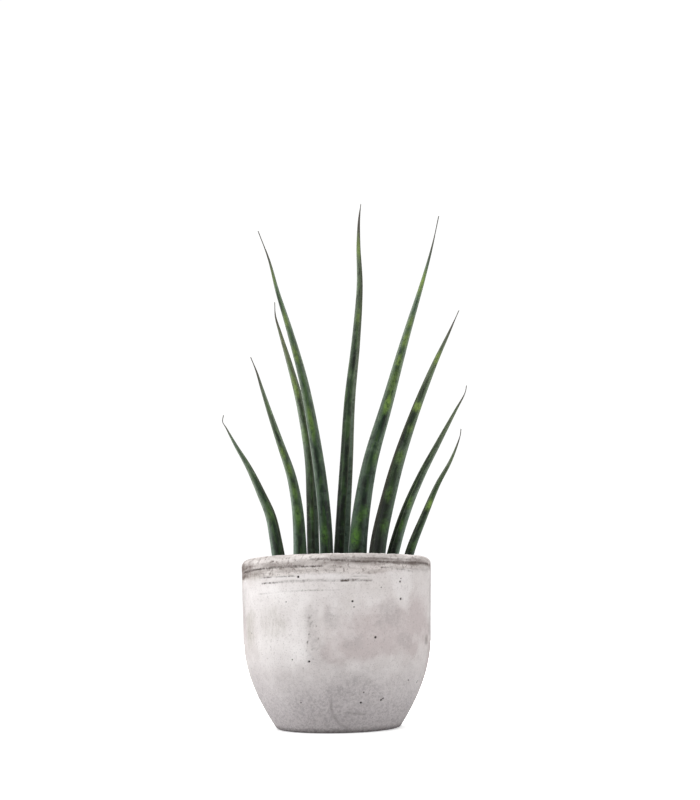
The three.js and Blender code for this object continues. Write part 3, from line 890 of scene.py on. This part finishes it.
class Nodes:
    """Adds nodes to a tree. An input may be a socket, a value or a screen colour of three numbers."""

    def __init__(self, tree):
        self.tree = tree

    def plug(self, socket, value):
        if isinstance(value, bpy.types.NodeSocket):
            self.tree.links.new(value, socket)
        else:
            screen_colour = socket.type == "RGBA" and len(value) == 3
            socket.default_value = srgb(*value) if screen_colour else value

    def node(self, kind, inputs, settings=()):
        made = self.tree.nodes.new("ShaderNode" + kind)
        for name, value in dict(settings).items():
            setattr(made, name, value)
        for name, value in inputs.items():
            self.plug(made.inputs[name], value)
        return made

    def math(self, operation, first, second):
        return self.node("Math", {0: first, 1: second}, {"operation": operation}).outputs[0]

    def times(self, first, second):
        return self.math("MULTIPLY", first, second)

    def ramp(self, value, low, high, start, end, kind="LINEAR"):
        inputs = {"Value": value, "From Min": low, "From Max": high, "To Min": start, "To Max": end}
        return self.node("MapRange", inputs, {"interpolation_type": kind}).outputs[0]

    def span(self, value, low, high, start=0.0, end=1.0):
        return self.ramp(value, low, high, start, end, "SMOOTHSTEP")

    def show_camera(self, shown, lighting, output):
        """Gives the camera one shader and all other rays another."""
        camera = self.node("LightPath", {}).outputs["Is Camera Ray"]
        mix = self.node("MixShader", {0: camera, 1: lighting.outputs[0], 2: shown.outputs[0]})
        self.plug(self.tree.nodes[output].inputs["Surface"], mix.outputs[0])


class Shader(Nodes):
    """Builds one material, with its colour laid on in coats."""

    def __init__(self, name):
        self.material = bpy.data.materials.new(name)
        self.material.use_nodes = True
        super().__init__(self.material.node_tree)
        self.surface = self.tree.nodes["Principled BSDF"]
        self.objects = self.node("TexCoord", {}).outputs["Object"]

    def mask(self, name, output="Fac"):
        return self.node("Attribute", {}, {"attribute_name": name}).outputs[output]

    def scaled(self, source, scale):
        return self.node("Mapping", {"Vector": source, "Scale": scale}).outputs[0]

    def noise(self, source, scale, detail=2.0, rough=0.5, warp=0.0):
        inputs = {"Vector": source, "Scale": scale, "Detail": detail, "Roughness": rough, "Distortion": warp}
        return self.node("TexNoise", inputs).outputs[0]

    def blend(self, factor, first, second, mode="MIX"):
        inputs = {0: factor, 6: first, 7: second}
        return self.node("Mix", inputs, {"data_type": "RGBA", "blend_type": mode}).outputs[2]

    def coat(self, factor, colour, mode="MIX"):
        self.colour = self.blend(factor, self.colour, colour, mode)

    def bump(self, height, distance, strength, under=None):
        inputs = {"Height": height, "Distance": distance, "Strength": strength}
        if under is not None:
            inputs["Normal"] = under
        return self.node("Bump", inputs).outputs[0]

    def set(self, values):
        for name, value in values.items():
            self.plug(self.surface.inputs[name], value)

    def finish(self, roughness, normal, specular):
        self.set({"Base Color": self.colour, "Roughness": roughness, "Normal": normal,
                  "Specular IOR Level": specular})
        return self.material


def concrete_material():
    s = Shader("cast_concrete")
    height = s.node("SeparateXYZ", {"Vector": s.objects}).outputs["Z"]
    clouds = s.noise(s.objects, 45, 4, 0.6, 0.3)
    mottle = s.noise(s.objects, 150, 4, 0.65)
    stains = s.noise(s.objects, 330, 5, 0.75, 0.4)
    grains = s.noise(s.objects, 1100, 2, 0.7)
    sand = s.noise(s.objects, 520, 3, 0.75)
    smears = s.noise(s.scaled(s.objects, (0.12, 0.12, 1)), 330, 3, 0.65)
    drips = s.noise(s.scaled(s.objects, (1, 1, 0.2)), 420, 3, 0.65)

    s.colour = s.blend(s.span(clouds, 0.3, 0.7), (216, 210, 208), (226, 221, 220))
    s.coat(s.span(mottle, 0.35, 0.65, 0, 0.24), (194, 186, 184))
    # Pale patches, with painted highlights in the thin strips along the rim's top and under the rim band
    s.coat(s.times(s.mask("pale"), 0.7), (238, 234, 233))
    s.coat(s.times(s.mask("brown"), s.span(stains, 0.34, 0.66, 0.8, 1.3)), (198, 188, 187))
    s.coat(s.times(s.mask("olive"), s.span(drips, 0.36, 0.64, 0.35, 1.4)), (187, 182, 175))
    # Grey patches, with painted shade down the right side and low on the front
    s.coat(s.times(s.mask("grey"), s.span(stains, 0.34, 0.66, 0.35, 1.35)), (166, 160, 160))

    # Darker and more speckled towards the bottom: partly the cast's own colour, partly painted shade where
    # the wall draws in and faces down
    low = s.span(s.math("ADD", height, s.times(clouds, 0.05)), 0.08, 0.038)
    speckled = s.blend(s.span(sand, 0.38, 0.62), (180, 174, 176), (217, 211, 212))
    s.coat(s.times(low, 0.75), speckled)
    s.coat(s.times(low, s.span(stains, 0.5, 0.66, 0, 0.4)), (168, 161, 162))

    band = s.mask("band")
    rough_rim = s.blend(s.span(smears, 0.36, 0.64), (160, 151, 146), (218, 211, 207))
    s.coat(s.times(band, 0.62), rough_rim)
    s.coat(s.times(band, s.span(stains, 0.5, 0.64, 0, 0.75)), (126, 115, 110))
    streaky = s.times(s.span(smears, 0.34, 0.62, 1.2, 0.5), s.span(stains, 0.36, 0.62, 1.25, 0.7))
    s.coat(s.times(s.mask("umber"), streaky), (112, 101, 96))

    broken = s.times(s.mask("dark"), s.span(sand, 0.3, 0.7, 0.5, 1.4))
    s.coat(s.span(broken, 0, 0.75), (84, 76, 72))
    s.coat(s.span(sand, 0.54, 0.7, 0, 0.3), (150, 142, 140))
    s.coat(s.span(grains, 0.58, 0.72, 0, 0.4), (120, 112, 108))
    s.coat(s.span(grains, 0.38, 0.26, 0, 0.25), (240, 236, 234))
    # Painted shade in the pinholes
    s.coat(s.mask("pit"), (42, 36, 34))
    # A painted shadow along the foot, where the pot meets the floor
    foot = s.times(s.span(height, 0.0045, 0.0005), s.span(sand, 0.3, 0.7, 0.75, 0.4))
    s.coat(foot, (96, 90, 90))

    relief = s.bump(grains, 0.00025, 0.35, s.bump(sand, 0.0005, 0.3))
    return s.finish(s.span(clouds, 0.3, 0.7, 0.74, 0.9), relief, 0.12)


def leaf_material():
    s = Shader("mottled_leaf")
    place = s.mask("leaf_space", "Vector")
    grown, hue, side_lighting = s.mask("grown"), s.mask("hue"), s.mask("side_lighting")
    blotches = s.noise(s.scaled(place, (1, 1, 0.3)), 0.24, 4, 0.6, 0.4)
    flecks = s.noise(s.scaled(place, (0.8, 0.8, 0.6)), 0.55, 4, 0.7, 0.5)
    bands = s.noise(s.scaled(place, (0.4, 0.4, 1)), 0.14, 4, 0.6, 0.6)
    lines = s.noise(s.scaled(place, (1, 1, 0.012)), 0.95, 3, 0.7)
    fine = s.noise(s.scaled(place, (1, 1, 0.05)), 2.6, 2, 0.6)
    specks = s.noise(s.scaled(place, (1, 1, 0.5)), 2.2, 3, 0.7)

    # Darker at the foot and paler towards the tip: partly the leaf's own colour, partly painted shade low
    # down and a painted highlight where the leaf is thin
    s.colour = s.blend(s.span(grown, 0, 0.5), (22, 33, 22), (39, 56, 36))
    s.coat(s.span(grown, 0.55, 0.88), (98, 108, 87))
    s.coat(s.span(hue, 0, -1), BLUER, "MULTIPLY")
    s.coat(s.span(hue, 0, 1), BROWNER, "MULTIPLY")
    greener = s.blend(s.span(grown, 0, 0.8), (40, 70, 30), (82, 104, 64))
    s.coat(s.span(blotches, 0.49, 0.6, 0, 0.75), greener)
    s.coat(s.span(blotches, 0.48, 0.36, 0, 0.8), (14, 20, 14))
    # Painted shade, darkest at the foot where the pot and the other leaves shade the leaf
    s.coat(s.mask("dark"), (17, 19, 15))

    # A pale grey-green for the leaf's pale cross bands and for the painted sheen on its sides
    band_and_sheen = s.blend(s.span(grown, 0, 0.7), (106, 127, 113), (143, 156, 136))
    s.coat(s.span(bands, 0.52, 0.7, 0, 0.14), band_and_sheen)
    patchy = s.times(s.span(flecks, 0.32, 0.58, 0.6, 1.05), s.span(blotches, 0.36, 0.5, 0.65, 1.05))
    # Painted sheen on the leaf's sides, and where the value is below 0, painted shade that turns them near
    # black
    s.coat(s.times(side_lighting, patchy), band_and_sheen)
    s.coat(s.times(side_lighting, s.span(blotches, 0.42, 0.6, -1, -0.75)), (14, 18, 13))
    limed = s.blend(s.span(grown, 0.1, 0.8), (82, 124, 46), (134, 156, 78))
    s.coat(s.times(s.mask("lime"), s.span(flecks, 0.34, 0.6, 0.225, 1.035)), limed)

    s.coat(s.span(flecks, 0.58, 0.72, 0, 0.35), (92, 116, 74))
    s.coat(s.span(flecks, 0.42, 0.3, 0, 0.55), (18, 25, 17))
    s.coat(s.span(lines, 0.56, 0.68, 0, 0.35), (20, 27, 22))
    s.coat(s.span(lines, 0.42, 0.3, 0, 0.25), (104, 122, 96))
    s.coat(s.span(specks, 0.64, 0.76, 0, 0.3), (122, 132, 112))
    # Painted shade inside the channel
    s.coat(s.times(s.mask("channel"), 0.12), (22, 28, 22))
    s.coat(s.times(s.mask("margin"), s.span(grown, 0, 0.45, 0.12, 0.5)), (112, 112, 94))
    s.coat(s.span(grown, 0.83, 0.95, 0, 0.85), (86, 80, 75))

    relief = s.bump(fine, 0.0002, 0.25, s.bump(lines, 0.0004, 0.3))
    return s.finish(s.span(fine, 0.3, 0.7, 0.34, 0.5), relief, 0.2)


def soil_material():
    s = Shader("potting_soil")
    lumps = s.noise(s.objects, 420, 4, 0.7)
    crumbs = s.node("TexVoronoi", {"Vector": s.objects, "Scale": 800}).outputs["Distance"]
    fibres = s.noise(s.scaled(s.objects, (1, 0.2, 1)), 900, 3, 0.7)
    s.colour = s.blend(s.span(lumps, 0.35, 0.65), (38, 28, 21), (74, 56, 42))
    s.coat(s.span(fibres, 0.58, 0.75, 0, 0.7), (112, 86, 62))
    s.coat(s.span(crumbs, 0.45, 0.05, 0, 0.5), (24, 18, 14))
    relief = s.bump(crumbs, 0.0005, 0.5, s.bump(lumps, 0.0008, 0.6))
    return s.finish(s.span(lumps, 0.3, 0.7, 0.82, 0.98), relief, 0.25)


def bark_material():
    s = Shader("bark_bits")
    grain = s.noise(s.scaled(s.objects, (0.3, 1, 1)), 1200, 4, 0.7)
    s.colour = s.blend(s.span(grain, 0.35, 0.65), (58, 42, 32), (108, 82, 62))
    s.coat(s.span(s.noise(s.objects, 90, 1), 0.45, 0.6, 0, 0.6), (130, 104, 80))
    return s.finish(s.span(grain, 0.3, 0.7, 0.75, 0.95), s.bump(grain, 0.0005, 0.5), 0.3)


def perlite_material():
    s = Shader("perlite_bits")
    specks = s.noise(s.objects, 1500, 3, 0.7)
    s.colour = s.blend(s.span(specks, 0.35, 0.6), (196, 190, 180), (236, 232, 224))
    s.coat(s.span(s.noise(s.objects, 120, 1), 0.5, 0.65, 0, 0.5), (176, 160, 138))
    return s.finish(s.span(specks, 0.3, 0.7, 0.8, 0.95), s.bump(specks, 0.0004, 0.6), 0.35)


# The studio

def make_camera():
    tilt, yaw, roll = (math.radians(a) for a in (TILT, YAW, ROLL))
    forward = Vector((math.sin(yaw) * math.cos(tilt), math.cos(yaw) * math.cos(tilt), math.sin(tilt)))
    level = Vector((math.cos(yaw), -math.sin(yaw), 0))
    above = level.cross(forward)
    right = level * math.cos(roll) - above * math.sin(roll)
    up = above * math.cos(roll) + level * math.sin(roll)
    camera = link(bpy.data.objects.new("camera", bpy.data.cameras.new("camera")))
    turn = Matrix((right, up, -forward)).transposed().to_4x4()
    camera.matrix_world = Matrix.Translation(Vector(EYE) * MM) @ turn
    camera.data.sensor_width = SENSOR
    camera.data.lens = FOCAL_PIXELS / FRAME_HEIGHT * SENSOR
    camera.data.clip_start = 0.01
    bpy.context.scene.camera = camera


def make_floor():
    """A pale floor that looks white, but throws less light back than it shows."""
    mesh = bpy.data.meshes.new("floor")
    mesh.from_pydata(FLOOR_CORNERS, [], [(0, 1, 2, 3)])
    floor = link(bpy.data.objects.new("floor", mesh))
    s = Shader("pale_floor")
    away = s.node("VectorMath", {0: s.objects}, {"operation": "LENGTH"}).outputs["Value"]
    s.set({"Base Color": (0.9, 0.9, 0.9, 1), "Roughness": 0.9, "Specular IOR Level": 0.1,
           "Emission Color": (1, 1, 1, 1), "Emission Strength": s.ramp(away, 0.1, 0.5, *FLOOR_GLOW)})
    s.show_camera(s.surface, s.node("BsdfDiffuse", {"Color": (0.45, 0.45, 0.45, 1)}), "Material Output")
    mesh.materials.append(s.material)


def make_world():
    """White to look at. It lights the plant from above and a little from behind."""
    world = bpy.data.worlds.new("studio")
    bpy.context.scene.world = world
    world.use_nodes = True
    sky = Nodes(world.node_tree)
    shown = sky.tree.nodes["Background"]
    sky.plug(shown.inputs["Color"], (1, 1, 1, 1))
    sky.plug(shown.inputs["Strength"], SKY_SHOWN)
    split = sky.node("SeparateXYZ", {0: sky.node("TexCoord", {}).outputs["Generated"]})
    above = sky.ramp(split.outputs["Z"], 0.1, 0.8, 0, SKY_ABOVE)
    behind = sky.ramp(split.outputs["Y"], 0.1, 0.8, 0, SKY_BEHIND)
    lighting = sky.node("Background", {"Strength": sky.math("ADD", above, behind)})
    sky.show_camera(shown, lighting, "World Output")


def add_softbox(name, azimuth, elevation, power):
    """A softbox round the plant, its azimuth counted from the front towards +X."""
    turn, rise = math.radians(azimuth), math.radians(elevation)
    towards = Vector((math.cos(rise) * math.sin(turn), -math.cos(rise) * math.cos(turn), math.sin(rise)))
    data = bpy.data.lights.new(name, "AREA")
    data.shape = "RECTANGLE"
    data.size, data.size_y = SOFTBOX_SIZE
    data.energy = power
    light = link(bpy.data.objects.new(name, data))
    light.location = Vector(SOFTBOX_TARGET) + towards * SOFTBOX_DISTANCE
    light.rotation_euler = (-towards).to_track_quat("-Z", "Y").to_euler()


make_camera()
make_floor()
make_world()
for name, (azimuth, elevation, power) in SOFTBOXES.items():
    add_softbox(name, azimuth, elevation, power)
bpy.context.scene.view_settings.view_transform = "Standard"

make_pot(concrete_material())
soil = soil_material()
bark = bark_material()
make_soil(soil)
for name, material in (("soil_crumbs", soil), ("soil_bark", bark), ("soil_perlite", perlite_material())):
    scatter(name, material, *BITS[name])
make_fibres(bark)
foliage = leaf_material()
for number, leaf in enumerate(LEAVES, 1):
    make_leaf(number, leaf, foliage)
